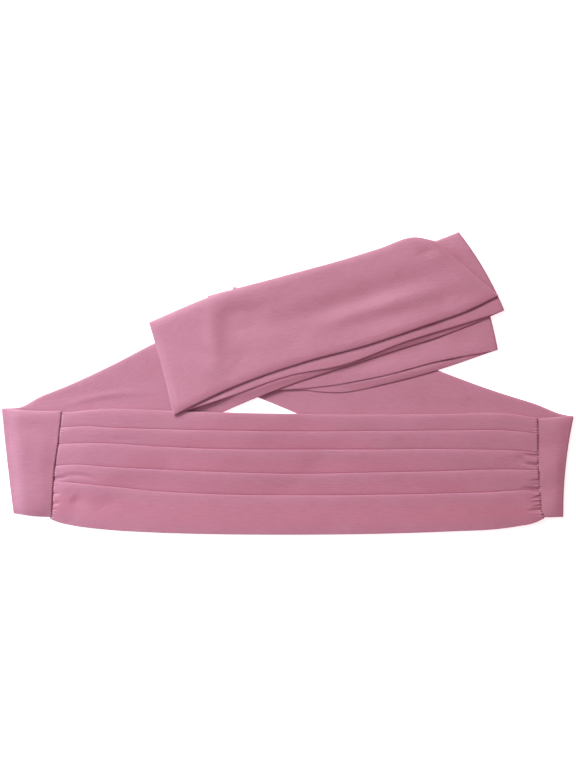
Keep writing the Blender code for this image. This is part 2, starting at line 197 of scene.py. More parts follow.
SEAM_UNDER = 1.8         # the panel's ends run on under the ties' edges
GATHER_REACH = 24.0      # how far in from a seam the gathers lift the panel
GATHER_PULL = 1.6        # how hard they pull for their depth: thick folds come down further
GATHER_TAPER = 0.3       # share of its width that a gather loses on its way in
GATHER_FADE = 1.3        # the power by which it gets shallower
PUCKER_HEIGHT = 0.45     # small waves that the stitches pull into the cloth beside them
PUCKER_PITCH = 2.5       # from one wave to the next
PUCKER_REACH = 2.6       # and about how far in they fade
PUCKER_DRIFT = 1.5       # how far they stray from their places, in radians of a wave
DRIFT_TURN = 0.31        # and how fast that changes along a seam, in radians a millimetre
LEFT_DRIFT = 1           # where the drift starts at the panel's ends and in the ties' edges
RIGHT_DRIFT = 2
TIE_DRIFT = 4
SCALLOP = 0.65           # how far the stitches pull a tie's sewn edge aside
SEAM_SINK = 0.8          # share of its height that the panel loses as it goes under a tie

# A sewn end: how high it holds the tie's edge and over how long a way that fades, how far in
# from its own edge the panel is back to its full height, how much the gathers lift it, and its
# slow swell and how far that takes.
SewnEnd = namedtuple("SewnEnd", "rim rim_reach sink_reach lift swell swell_reach")
LEFT_SEWN = SewnEnd(1.4, 40.0, 4.2, 0.5, 2.8, 60.0)
RIGHT_SEWN = SewnEnd(1.9, 120.0, 1.7, -0.3, 0.0, 1.0)

RUBBED = "rubbed"        # how far the dye is rubbed off at each point
RUB_REACH = 1.6          # about how far in from an edge or a fold
FOLD_RUB = 0.3           # and how far at a fold, where an edge has 1

# The two ends of the cloth's colour, and what shows where it is rubbed.
Dye = namedtuple("Dye", "deep pale worn")
ROSE = Dye(
    deep=(0.418, 0.160, 0.220, 1.0),
    pale=(0.483, 0.200, 0.274, 1.0),
    worn=(0.53, 0.236, 0.312, 1.0),
)

STITCH_PITCH = 2.45      # from one stitch to the next
STITCH_JITTER = 0.3      # and how far it may lie from its place
STITCH_THICK = 0.75
STITCH_SLANT = 0.5       # how far a stitch leans along the seam
STITCH_POINTS = 7        # rings of points along it
STITCH_SIDES = 8         # and points in each ring
STITCH_ARCH = 0.14       # the air under its middle
STITCH_TIP = 0.35        # how thick it is at its ends, as a share of its middle
STITCH_BACK = 1.9        # from the seam to where a stitch enters the tie
STITCH_AHEAD = 0.6       # and the panel
STITCH_SPREAD = (0.8, 1.15)      # the range of both, as shares
RAY_HEIGHT = 1.0         # metres, from where the cloth under a stitch is looked for
UPWARD = Vector((0.0, 0.0, 1.0))
DOWNWARD = Vector((0.0, 0.0, -1.0))

# A fold line from a tie's upper edge to its lower one, how far its middle bows outward, and
# the side that outward is on: -1 for left, 1 for right.
Fold = namedtuple("Fold", "upper_x upper_y lower_x lower_y bow outward")
OUTER_LEFT = Fold(-300.5, -26.5, -288.0, -137.0, 0.5, -1)
OUTER_RIGHT = Fold(300.0, -34.5, 289.0, -140.5, -3.0, 1)
LEFT_TURN = Fold(-146.0, 64.0, -120.0, -33.0, -1.0, -1)
RIGHT_TURN = Fold(179.0, 159.0, 227.0, 76.5, 3.0, 1)
UNDER_LEFT_TURN = Fold(-58.0, 101.0, -65.0, -5.0, 0.0, -1)
UNDER_RIGHT_TURN = Fold(195.5, 128.5, 220.5, 35.0, 1.5, 1)

# A line across a tie, from its upper edge to its lower one.
Station = namedtuple("Station", "upper_x upper_y lower_x lower_y")
LEFT_END = (
    Station(-270.0, -28.5, -267.5, -139.5),
)
RIGHT_END = (
    Station(282.5, -35.5, 278.5, -140.5),
)
LEFT_RISE = (
    Station(-281.0, -25.0, -265.5, -126.0),
    Station(-262.0, -15.0, -241.5, -114.0),
    Station(-232.5, -3.0, -202.5, -95.5),
    Station(-182.0, 20.5, -147.0, -68.0),
    Station(-143.5, 40.5, -106.0, -48.0),
    Station(-52.5, 79.0, -17.5, -9.0),
    Station(54.5, 114.5, 88.5, 26.5),
    Station(154.0, 149.0, 187.0, 59.5),
)
RIGHT_RISE = (
    Station(292.0, -33.5, 274.0, -134.0),
    Station(259.0, -21.5, 228.0, -117.0),
    Station(218.0, -8.5, 183.0, -99.5),
    Station(158.0, 13.5, 122.0, -76.0),
    Station(75.5, 46.5, 40.0, -44.5),
    Station(12.5, 72.0, -21.5, -19.0),
    Station(-40.0, 93.5, -50.5, -8.0),
)
RIGHT_RETURN = (
    Station(2.0, 93.5, 8.5, -6.5),
    Station(44.0, 90.5, 57.5, -9.5),
    Station(81.0, 96.5, 105.0, 0.0),
    Station(133.5, 110.0, 158.0, 14.0),
)
RIGHT_UNDER = (
    Station(138.5, 117.0, 159.5, 23.5),
    Station(81.0, 104.0, 100.0, 8.0),
    Station(12.5, 97.0, 23.0, -5.0),
    Station(-61.5, 97.5, -45.0, -5.0),
    Station(-84.5, 91.5, -69.0, -1.0),
)
LEFT_BACK = (
    Station(154.0, 148.5, 183.0, 62.0),
    Station(95.0, 136.5, 124.5, 44.0),
    Station(36.0, 112.5, 59.0, 19.5),
    Station(-24.0, 98.0, 2.0, 8.0),
    Station(-87.0, 81.0, -66.0, -15.5),
)
LEFT_TOP = (
    Station(-84.5, 89.5, -61.5, -5.5),
    Station(-4.0, 112.5, 21.0, 23.5),
    Station(54.5, 128.5, 84.5, 40.5),
    Station(95.0, 141.0, 141.0, 59.5),
    Station(132.5, 153.0, 189.0, 76.5),
    Station(154.0, 149.0, 220.5, 92.0),
)

# The panel's folds at one X: the Y of its top edge, of its four pleats and of its hem.
Section = namedtuple("Section", "x top pleat_1 pleat_2 pleat_3 pleat_4 hem")
PANEL = (
    Section(-242.0, -30.0, -46.5, -64.5, -88.0, -102.5, -142.5),
    Section(-233.0, -30.0, -46.0, -63.5, -86.0, -103.0, -146.0),
    Section(-218.0, -28.5, -44.5, -62.5, -85.0, -104.0, -149.5),
    Section(-187.0, -26.5, -46.0, -62.5, -87.0, -107.0, -153.5),
    Section(-140.0, -28.0, -47.5, -65.5, -89.5, -112.0, -156.5),
    Section(-71.0, -30.5, -49.0, -68.5, -92.5, -116.0, -158.5),
    Section(13.0, -32.0, -50.0, -69.0, -94.5, -117.0, -159.0),
    Section(97.0, -32.5, -49.5, -69.0, -93.0, -116.5, -158.0),
    Section(170.0, -32.0, -49.0, -68.5, -91.5, -115.0, -155.5),
    Section(217.0, -31.0, -48.5, -69.5, -90.0, -113.5, -153.0),
    Section(238.0, -32.5, -49.5, -70.0, -90.0, -112.0, -150.0),
    Section(254.0, -35.0, -51.5, -71.5, -90.5, -112.0, -146.5),
    Section(264.0, -36.5, -53.0, -73.0, -90.5, -114.0, -141.5),
)

# Places down a seam.
SeamPoint = namedtuple("SeamPoint", "y x")
LEFT_SEAM = (
    SeamPoint(-29.0, -237.5),
    SeamPoint(-64.5, -241.4),
    SeamPoint(-88.0, -244.8),
    SeamPoint(-122.0, -247.2),
    SeamPoint(-140.5, -248.0),
)
RIGHT_SEAM = (
    SeamPoint(-36.5, 261.0),
    SeamPoint(-73.0, 261.3),
    SeamPoint(-114.0, 263.2),
    SeamPoint(-132.0, 265.3),
    SeamPoint(-140.5, 267.5),
)

# A soft crease: its ends, how far it bows aside, its width and its height, below 0 for a trough.
Crease = namedtuple("Crease", "x1 y1 x2 y2 bow width height")
LEFT_TOP_CREASES = (
    Crease(-75.0, 94.0, -72.0, 2.0, -3.0, 9.0, 1.0),
    Crease(-80.0, 77.0, 4.0, 98.0, 0.0, 8.0, 0.6),
    Crease(-84.0, 58.0, -16.0, 75.0, 0.0, 20.0, -2.6),
    Crease(-46.0, 56.0, 162.0, 116.0, -2.0, 12.0, -1.9),
    Crease(18.0, 55.0, 178.0, 105.0, 2.0, 8.0, 1.2),
    Crease(40.0, 51.0, 180.0, 89.0, 0.0, 9.0, -1.1),
    Crease(132.0, 133.0, 158.0, 141.0, 0.0, 5.0, -0.8),
)
LEFT_RISE_CREASES = (
    Crease(-236.0, -23.0, -138.0, -10.0, 4.5, 3.5, 0.7),
    Crease(-262.0, -20.0, -214.0, -12.0, 2.0, 5.0, -0.5),
    Crease(-82.0, -20.0, 70.0, 29.0, 0.0, 5.5, 1.8),
    Crease(10.0, 5.0, 216.0, 76.0, 0.0, 4.5, 2.0),
)
RIGHT_RISE_CREASES = (
    Crease(60.0, -24.0, 230.0, -28.0, 0.0, 8.0, -0.9),
)
RIGHT_RETURN_CREASES = (
    Crease(30.0, -6.0, 214.0, 36.0, -4.0, 5.0, 1.2),
)
LEFT_END_CREASES = (
    Crease(-259.0, -34.0, -262.0, -134.0, 2.0, 9.0, 0.45),
    Crease(-290.0, 4.0, -272.0, -168.0, 0.0, 22.0, 2.4),
)
RIGHT_END_CREASES = (
    Crease(306.0, -6.0, 294.0, -170.0, 0.0, 24.0, 1.7),
)
PANEL_CREASES = (
    Crease(-238.0, -98.5, -197.0, -104.5, 5.0, 2.4, -0.7),
    Crease(-200.0, -57.0, -156.0, -60.0, 0.0, 3.0, -0.3),
    Crease(-228.0, -119.0, -214.0, -130.0, 0.0, 6.5, -1.3),
    Crease(-196.0, -122.0, -182.0, -131.0, 0.0, 8.0, -0.6),
    Crease(236.0, -78.0, 251.0, -82.0, 0.0, 3.5, -0.7),
)

# A gather: where it leaves the seam, how far it runs in, its rise by then, width and depth.
Gather = namedtuple("Gather", "y run rise width depth")
LEFT_GATHERS = (
    Gather(-66.5, 5.0, 0.0, 1.0, 0.4),
    Gather(-100.0, 16.0, 1.0, 1.8, 1.7),
    Gather(-108.0, 5.0, 0.5, 1.0, 0.7),
    Gather(-116.3, 9.0, 0.8, 1.5, 1.4),
    Gather(-126.8, 10.0, 1.5, 1.7, 1.6),
    Gather(-132.0, 7.0, -0.5, 1.3, 1.0),
)
RIGHT_GATHERS = (
    Gather(-47.0, 6.0, 0.5, 0.9, 0.4),
    Gather(-77.0, 18.0, 2.8, 2.0, 2.1),
    Gather(-86.4, 20.0, 3.2, 2.0, 2.0),
    Gather(-102.0, 11.0, -0.6, 1.4, 1.4),
    Gather(-105.6, 9.0, -0.5, 1.2, 1.2),
    Gather(-112.0, 19.0, 2.4, 2.2, 2.4),
    Gather(-119.3, 11.0, -2.0, 1.5, 1.6),
    Gather(-124.0, 10.0, -0.8, 1.5, 1.6),
    Gather(-128.0, 9.0, -1.5, 1.2, 1.2),
    Gather(-132.6, 17.0, -1.2, 2.0, 1.8),
)

# Long, low waves in cloth at rest: length, width, height and the seed of their places.
Wave = namedtuple("Wave", "length width height seed")
PANEL_WAVE = Wave(95.0, 34.0, 0.12, 3)
TIE_WAVE = Wave(110.0, 40.0, 0.16, 8)
WAVE_COUNT = 5
LENGTH_SPREAD = (0.7, 1.6)       # each wave's length, as shares of the one given
WIDTH_SPREAD = (0.8, 1.8)        # and its width

# How far a stretch of tie puffs up, and how far in from its first and last ends it does so.
Puff = namedtuple("Puff", "height start end")
FLAT = Puff(0.0, 1.0, 1.0)
LEFT_END_PUFF = Puff(1.0, 18.0, 14.0)
RIGHT_END_PUFF = Puff(0.4, 10.0, 16.0)
TOP_PUFF = Puff(0.9, 5.0, 16.0)


# ---------------------------------------------------------------- curves and the height map


def smooth_through(stops, values, at):
    """A smooth curve through the values at the stops, read at each place in at."""
    stops = np.asarray(stops, float)
    values = np.asarray(values, float)
    slopes = np.gradient(values, stops, axis=0)
    span = np.clip(np.searchsorted(stops, at, side="right") - 1, 0, len(stops) - 2)
    width = stops[span + 1] - stops[span]
    t = (at - stops[span]) / width
    if values.ndim == 2:
        t = t[:, None]
        width = width[:, None]
    start = (2 * t**3 - 3 * t**2 + 1) * values[span] + (t**3 - 2 * t**2 + t) * width * slopes[span]
    end = (3 * t**2 - 2 * t**3) * values[span + 1] + (t**3 - t**2) * width * slopes[span + 1]
    return start + end


def smooth_step(t):
    t = np.clip(t, 0.0, 1.0)
    return t * t * (3 - 2 * t)


def rise(distance, reach):
    """From 0 at an edge to 1 at the reach, steepest at the edge as a soft pillow is."""
    return 1 - (1 - np.clip(distance / reach, 0.0, 1.0)) ** 2


def long_waves(wave, x, y):
    """A sum of long, low waves of seeded directions and places."""
    random = np.random.default_rng(wave.seed)
    height = np.zeros_like(x)
    for _ in range(WAVE_COUNT):
        along = 2 * math.pi / (wave.length * random.uniform(*LENGTH_SPREAD))
        turn = random.choice((-1, 1)) * 2 * math.pi
        across = turn / (wave.width * random.uniform(*WIDTH_SPREAD))
        height += np.sin(along * x + across * y + random.uniform(0.0, 2 * math.pi))
    return wave.height * height / math.sqrt(WAVE_COUNT)


def grid(x, y, z):
    return np.stack([x, y, z], axis=-1)


class HeightMap:
    """The top of everything laid so far, on a square grid seen from above."""

    def __init__(self):
        self.x = np.arange(-HALF_X, HALF_X + CELL, CELL)
        self.y = np.arange(-HALF_Y, HALF_Y + CELL, CELL)
        self.top = np.zeros((len(self.x), len(self.y)))

    def cells(self, x, y):
        """The cell below each point, and how far the point lies across it."""
        across = (x + HALF_X) / CELL
        along = (y + HALF_Y) / CELL
        column = np.clip(across.astype(int), 0, len(self.x) - 2)
        row = np.clip(along.astype(int), 0, len(self.y) - 2)
        return column, row, across - column, along - row

    def lay(self, points, thick):
        """Raises the map to the upper side of a ply, given its mid-wall points."""
        steps = np.linspace(0.0, 1.0, LAY_STEPS)
        a, b, c, d = points[:-1, :-1], points[1:, :-1], points[:-1, 1:], points[1:, 1:]
        for u in steps:
            for v in steps:
                spot = (a * (1 - u) + b * u) * (1 - v) + (c * (1 - u) + d * u) * v
                column, row, _, _ = self.cells(spot[..., 0], spot[..., 1])
                for i in (0, 1):
                    for j in (0, 1):
                        np.maximum.at(self.top, (column + i, row + j), spot[..., 2] + thick / 2)

    def cover(self, slope, limit_y):
        """A soft surface that clears the map up to the limit, no steeper than the slope."""
        top = np.where(self.y < limit_y, self.top, 0.0)
        reach = int((CLEAR_REACH + top.max() / slope) / CELL) + 1
        padded = np.pad(top, reach)
        cover = top.copy()
        wide, deep = self.top.shape
        for i in range(-reach, reach + 1):
            for j in range(-reach, reach + 1):
                away = CELL * math.hypot(i, j)
                if away > reach * CELL:
                    continue
                drop = slope * max(0.0, away - CLEAR_REACH)
                moved = padded[reach + i:reach + i + wide, reach + j:reach + j + deep]
                np.maximum(cover, moved - drop, out=cover)
        return blurred(cover)

    def read(self, cover, x, y):
        column, row, u, v = self.cells(x, y)
        near = cover[column, row] * (1 - u) + cover[column + 1, row] * u
        far = cover[column, row + 1] * (1 - u) + cover[column + 1, row + 1] * u
        return near * (1 - v) + far * v

    def rest(self, x, y, slope, gap, limit_y=HALF_Y):
        """Height of the underside of a ply laid here: the floor, or what is below and a gap."""
        height = self.read(self.cover(slope, limit_y), x, y)
        return height + gap * smooth_step(height)


def blurred(surface):
    """The surface averaged over a disc as wide as the reach that it keeps clear."""
    reach = int(CLEAR_REACH / CELL)
    padded = np.pad(surface, reach, mode="edge")
    total = np.zeros_like(surface)
    weights = 0.0
    wide, deep = surface.shape
    for i in range(-reach, reach + 1):
        for j in range(-reach, reach + 1):
            away = CELL * math.hypot(i, j)
            if away > CLEAR_REACH:
                continue
            weight = math.cos(away / CLEAR_REACH * math.pi / 2) ** 2
            total += weight * padded[reach + i:reach + i + wide, reach + j:reach + j + deep]
            weights += weight
    return total / weights


# ---------------------------------------------------------------- a tie


def across_shares(width):
    """Shares of the way across a tie, closer together where its edges round down."""
    edge = np.array(EDGE_STEPS) / width
    first = TIE_ROLL / width
    middle = np.linspace(first, 1 - first, int((width - 2 * TIE_ROLL) / ACROSS_STEP) + 1)
    return np.concatenate((edge, middle, (1 - edge)[::-1]))


# The shares of the way across a tie that all its rows of points have.
DOWN = across_shares(TIE_WIDTH)


def fold_points(fold, inset):
    """Points down a fold line, each moved inward, and the outward direction."""
    upper = np.array([fold.upper_x, fold.upper_y])
    lower = np.array([fold.lower_x, fold.lower_y])
    line = lower - upper
    outward = np.array([-line[1], line[0]]) / np.linalg.norm(line)
    outward *= fold.outward * np.sign(outward[0])
    bow = fold.bow * 4 * DOWN * (1 - DOWN)
    return upper + DOWN[:, None] * line + (bow - inset)[:, None] * outward, outward


def station_points(station):
    upper = np.array([station.upper_x, station.upper_y])
    lower = np.array([station.lower_x, station.lower_y])
    return upper + DOWN[:, None] * (lower - upper)


def tie_plan(rows, fine_end):
    """A tie's stretch seen from above, as rows of points across it, and each row's distance
    along it. A fine end has rows close together, to round it down."""
    rows = np.array(rows)
    middle = rows[:, len(DOWN) // 2]
    distance = np.concatenate(([0.0], np.cumsum(np.linalg.norm(np.diff(middle, axis=0), axis=1))))
    length = distance[-1]
    if fine_end:
        at = np.linspace(0.0, length - TIE_ROLL, int((length - TIE_ROLL) / TIE_STEP) + 1)
        at = np.concatenate((at, length - np.array(EDGE_STEPS)[::-1]))
    else:
        at = np.linspace(0.0, length, int(length / TIE_STEP) + 1)
    flat = smooth_through(distance, rows.reshape(len(rows), -1), at)
    return flat.reshape(len(at), len(DOWN), 2), at


def crease_heights(creases, x, y):
    """Height that the soft creases add at each point."""
    height = np.zeros_like(x)
    for crease in creases:
        run = np.array([crease.x2 - crease.x1, crease.y2 - crease.y1])
        length = np.linalg.norm(run)
        run /= length
        along = ((x - crease.x1) * run[0] + (y - crease.y1) * run[1]) / length
        inside = np.clip(along, 0.0, 1.0)
        aside = (y - crease.y1) * run[0] - (x - crease.x1) * run[1]
        aside = aside - crease.bow * 4 * inside * (1 - inside)
        past = (along - inside) * length
        away = np.hypot(aside, past) / crease.width
        share = np.clip(along, *CREASE_ENDS)
        height += crease.height * np.exp(-away**2) * np.sin(math.pi * share)
    return height


def kept_above(lowest, height):
    """The height, eased so that it never comes below the lowest."""
    over = height - lowest
    return lowest + (over + np.hypot(over, TOUCH_EASE)) / 2


def tie_stretch(
    below, rows, creases=(), puff=FLAT, sewn=None, slope=TIE_SLOPE, gap=TIE_GAP, fine_end=False
):
    """Mid-wall points of a stretch of tie lying on what is below."""
    plan, distance = tie_plan(rows, fine_end)
    x, y = plan[..., 0], plan[..., 1]
    from_end = (distance[-1] - distance)[:, None]
    inward = rise(distance[:, None], puff.start) * rise(from_end, puff.end)
    sides = TIE_WIDTH * np.minimum(DOWN, 1 - DOWN)
    rest = below.rest(x, y, slope, gap) + TIE_THICK / 2
    middle = rest + (TIE_PUFF + puff.height * inward) * rise(sides, SIDE_REACH)
    middle += (crease_heights(creases, x, y) + long_waves(TIE_WAVE, x, y)) * inward
    if sewn:
        pulled = puckers(from_end, y, TIE_DRIFT)
        middle += sewn.rim * (1 - rise(from_end, sewn.rim_reach)) + pulled
        x = x + SCALLOP / PUCKER_HEIGHT * pulled
    return grid(x, y, kept_above(rest + TIE_GAP - gap, middle))


def fold_loop(fold, before, after):
    """Mid-wall points round a fold, from the last points before it to the first after it."""
    start, outward = fold_points(fold, LOOP_START)
    centre = (before[:, 2] + after[:, 2]) / 2
    half_height = (after[:, 2] - before[:, 2]) / 2
    loop = []
    for turn in np.linspace(math.pi, 0.0, FOLD_STEPS + 1)[1:-1]:
        plan = start + FOLD_DEPTH * math.sin(turn) * outward
        loop.append(grid(plan[:, 0], plan[:, 1], centre + half_height * math.cos(turn)))
    return np.array(loop)


# ---------------------------------------------------------------- the pleated panel


def arc(y, height, radius, facing, turns):
    """Points round a half circle that bulges to the facing side, from its lower end up."""
    half_turns = np.linspace(-math.pi / 2, math.pi / 2, turns + 1)
    return [
        (y + facing * radius * math.cos(turn), height + radius + radius * math.sin(turn), 0.0)
        for turn in half_turns
    ]


def pleat_path(section, pitch, hem_pitch):
    """The panel's mid-wall line in a cross section, from the turning under its top edge to the
    one under its hem: distance y, height, and how far the place shows from above."""
    low = PANEL_THICK / 2
    radius = pitch / 2
    hem_radius = hem_pitch / 2
    top_radius = min(TOP_PITCH, hem_pitch) / 2
    folds = [section.top, section.pleat_1, section.pleat_2, section.pleat_3, section.pleat_4]
    ends = folds[1:] + [section.hem]
    first_y = section.top - PANEL_THICK / 2 - top_radius
    last_y = section.hem + PANEL_THICK / 2 + hem_radius
    path = [(y, low, 0.0) for y in np.linspace(section.top - HEM_TUCK, first_y, TUCK_ROWS)[:-1]]
    path += arc(first_y, low, top_radius, 1, ARC_STEPS)
    for fold, end in zip(folds, ends):
        last = end == section.hem
        start_y, start_height, _ = path[-1]
        drop = start_height - low - (hem_pitch if last else DIP)
        end_y = last_y if last else end
        for share in np.linspace(0.0, 1.0, LAST_BAND_ROWS if last else BAND_ROWS)[1:]:
            t = share - BAND_EASE * math.sin(2 * math.pi * share)
            y = start_y + t * (end_y - start_y)
            crown = CROWN * (1 - math.exp((y - start_y) / CROWN_REACH)) * (1 - t) ** CROWN_FADE
            dip = 0.0 if last else DIP * math.exp((end_y - y) / DIP_REACH)
            path.append((y, start_height - drop * t + crown - dip, 1.0))
        if last:
            continue
        band = end - ends[ends.index(end) + 1]
        tuck_y = end - min(PLEAT_TUCK, TUCK_SHARE * band)
        fold_y = end - PANEL_THICK / 2 - radius
        path += [(y, low, 0.0) for y in np.linspace(end, tuck_y, TUCK_ROWS)[1:-1]]
        path += arc(tuck_y, low, radius, -1, ARC_STEPS)
        path += [(y, low + pitch, 0.0) for y in np.linspace(tuck_y, fold_y, TUCK_ROWS)[1:-1]]
        path += arc(fold_y, low + pitch, radius, 1, ARC_STEPS)
    path += arc(last_y, low, hem_radius, -1, ARC_STEPS)[::-1][1:]
    path += [(y, low, 0.0) for y in np.linspace(last_y, section.hem + HEM_TUCK, TUCK_ROWS)[1:]]
    return np.array(path)


def seam_x(seam, y):
    rows = np.array(sorted(seam))
    return smooth_through(rows[:, 0], rows[:, 1], np.clip(y, rows[0, 0], rows[-1, 0]))


def seam_points(seam):
    y = seam[0].y + DOWN * (seam[-1].y - seam[0].y)
    return np.stack([seam_x(seam, y), y], axis=1)


def panel_distances(length):
    """Distances along the panel, closer together beside the end seams."""
    near = np.arange(0.0, SEAM_ZONE, SEAM_STEP)
    middle = np.linspace(SEAM_ZONE, length - SEAM_ZONE, int((length - 2 * SEAM_ZONE) / PANEL_STEP))
    return np.concatenate((near, middle, (length - near)[::-1]))


def gather_depths(gathers, from_seam, y):
    """How deep the gathers press the panel beside a seam."""
    depth = np.zeros_like(y)
    for gather in gathers:
        along = np.clip(from_seam / gather.run, 0.0, 1.0)
        width = gather.width * (1 - GATHER_TAPER * along)
        aside = (y - gather.y - gather.rise * along) / width
        depth += gather.depth * (1 - along) ** GATHER_FADE * np.exp(-aside**2)
    return depth


def puckers(from_seam, y, start):
    """Small uneven waves beside a row of stitches."""
    drift = PUCKER_DRIFT * np.sin(DRIFT_TURN * y + start)
    phase = 2 * math.pi * y / PUCKER_PITCH + drift
    return PUCKER_HEIGHT * np.sin(phase) * np.exp(-from_seam / PUCKER_REACH)


def panel_grid(distance, length):
    """The panel's points across, at each distance along it: their Y, their height, how far each
    shows from above and how far it is rubbed by the folds."""
    table = np.array(PANEL)
    sections = smooth_through(table[:, 0], table, table[0, 0] + distance)
    pinch = smooth_step(1 - np.minimum(distance, length - distance) / PINCH_REACH)
    pitches = PLEAT_PITCH + (SEAM_PITCH - PLEAT_PITCH) * pinch
    hem_pitches = HEM_PITCH + (SEAM_PITCH - HEM_PITCH) * pinch
    paths = [
        pleat_path(Section(*row), pitch, hem_pitch)
        for row, pitch, hem_pitch in zip(sections, pitches, hem_pitches)
    ]
    y, height, shows = np.moveaxis(np.array(paths), -1, 0)
    from_folds = [np.abs(y - sections[:, [column]]) for column in range(1, len(Section._fields))]
    folded = FOLD_RUB * np.exp(-np.min(from_folds, axis=0) / RUB_REACH)
    return y, height, shows, folded


def panel_middle(below):
    """Mid-wall points of the pleated panel lying on what is below, and how far its folds are
    rubbed."""
    length = PANEL[-1].x - PANEL[0].x
    distance = panel_distances(length)
    y, height, shows, folded = panel_grid(distance, length)
    left = seam_x(LEFT_SEAM, y) - SEAM_UNDER
    right = seam_x(RIGHT_SEAM, y) + SEAM_UNDER
    x = left + (distance / length)[:, None] * (right - left)
    from_left = np.maximum(x - left - SEAM_UNDER, 0.0)
    from_right = np.maximum(right - SEAM_UNDER - x, 0.0)
    height += shows * (crease_heights(PANEL_CREASES, x, y) + long_waves(PANEL_WAVE, x, y))
    for sewn, from_seam in ((LEFT_SEWN, from_left), (RIGHT_SEWN, from_right)):
        height += shows * sewn.swell * rise(from_seam, sewn.swell_reach)
        height += sewn.lift * (1 - rise(from_seam, GATHER_REACH))
    low = PANEL_THICK / 2
    height = np.maximum(height, low)
    pull = gather_depths(LEFT_GATHERS, from_left, y) + gather_depths(RIGHT_GATHERS, from_right, y)
    height *= height / (height + GATHER_PULL * pull)
    height += puckers(from_left, y, LEFT_DRIFT) + puckers(from_right, y, RIGHT_DRIFT)
    height = np.maximum(height, low)
    for sewn, from_edge in ((LEFT_SEWN, x - left), (RIGHT_SEWN, right - x)):
        height *= 1 - SEAM_SINK * (1 - smooth_step(from_edge / sewn.sink_reach))
    base = below.rest(x, y, PANEL_SLOPE, PANEL_GAP, PANEL_TOP)
    return grid(x, y, base + height), folded


# ---------------------------------------------------------------- meshes


def unit(vectors):
    return vectors / np.maximum(np.linalg.norm(vectors, axis=-1, keepdims=True), TINY)


def rounded_profile(distance, roll):
    """1 on the flat of a sheet, falling to 0 at its edge as a quarter ellipse does."""
    inside = np.clip(distance / roll, 0.0, 1.0)
    return np.sqrt(1 - (1 - inside) ** 2)


def distance_along(points, axis):
    """Distance of each point from the grid's first edge, along one of its directions."""
    steps = np.linalg.norm(np.diff(points, axis=axis), axis=-1)
    start = np.zeros_like(np.take(steps, [0], axis=axis))
    return np.concatenate((start, np.cumsum(steps, axis=axis)), axis=axis)


def shell_faces(columns, rows):
    """Faces of a front and a back grid of points that share their outer edges, and the numbers
    of the back grid's points inside those edges."""
    count = columns * rows
    index = np.arange(count).reshape(columns, rows)
    behind = index + count
    behind[0], behind[-1] = index[0], index[-1]
    behind[:, 0], behind[:, -1] = index[:, 0], index[:, -1]
    used = np.unique(behind[behind >= count])
    renumber = np.arange(2 * count)
    renumber[used] = count + np.arange(len(used))
    behind = renumber[behind]
    ahead_corners = (index[:-1, :-1], index[1:, :-1], index[1:, 1:], index[:-1, 1:])
    behind_corners = (behind[:-1, :-1], behind[:-1, 1:], behind[1:, 1:], behind[1:, :-1])
    sides = [np.stack(corners, axis=-1) for corners in (ahead_corners, behind_corners)]
    return np.concatenate([faces.reshape(-1, 4) for faces in sides]), used - count


def flat_places(along, across, inner):
    """Each point's place on the flat cloth, in metres: the front, and the back beside it."""
    centre = np.broadcast_to(along[:, [along.shape[1] // 2]], along.shape)
    front = np.stack([centre, across], axis=-1).reshape(-1, 2)
    back = np.stack([centre, 2 * across.max() - across], axis=-1).reshape(-1, 2)
    return np.concatenate((front, back[inner])) * MM


def smooth_object(name, mesh):
    mesh.shade_smooth()
    made = bpy.data.objects.new(name, mesh)
    bpy.context.scene.collection.objects.link(made)
    return made


def soft_sheet(name, middle, thick, roll, folded=0.0):
    """A closed soft sheet round a grid of mid-wall points, with rounded and rubbed edges and
    with UVs in metres."""
    along = distance_along(middle, 0)
    across = distance_along(middle, 1)
    from_ends = np.minimum(along, along[-1:] - along)
    from_sides = np.minimum(across, across[:, -1:] - across)
    half = thick / 2 * rounded_profile(from_ends, roll) * rounded_profile(from_sides, roll)
    rubbed = np.maximum(np.exp(-np.minimum(from_ends, from_sides) / RUB_REACH), folded).reshape(-1)
    normal = unit(np.cross(np.gradient(middle, axis=0), np.gradient(middle, axis=1)))
    front = (middle + half[..., None] * normal).reshape(-1, 3)
    back = (middle - half[..., None] * normal).reshape(-1, 3)
    faces, inner = shell_faces(*half.shape)
    mesh = bpy.data.meshes.new(name)
    points = np.concatenate((front, back[inner])) * MM
    mesh.from_pydata(points.tolist(), [], faces.tolist())
    layer = mesh.uv_layers.new(name="UVMap")
    places = flat_places(along, across, inner)
    layer.data.foreach_set("uv", places[faces.reshape(-1)].reshape(-1))
    rub = mesh.attributes.new(RUBBED, "FLOAT", "POINT")
    rub.data.foreach_set("value", np.concatenate((rubbed, rubbed[inner])))
    mesh.validate()
    return smooth_object(name, mesh)


def tree_of(piece):
    points = [vertex.co for vertex in piece.data.vertices]
    return BVHTree.FromPolygons(points, [face.vertices for face in piece.data.polygons])


def top_of(trees, x, y):
    """Height of the highest cloth at a point."""
    start = Vector((x * MM, y * MM, RAY_HEIGHT))
    hits = [tree.ray_cast(start, DOWNWARD)[0] for tree in trees]
    return max(hit.z for hit in hits if hit is not None) / MM


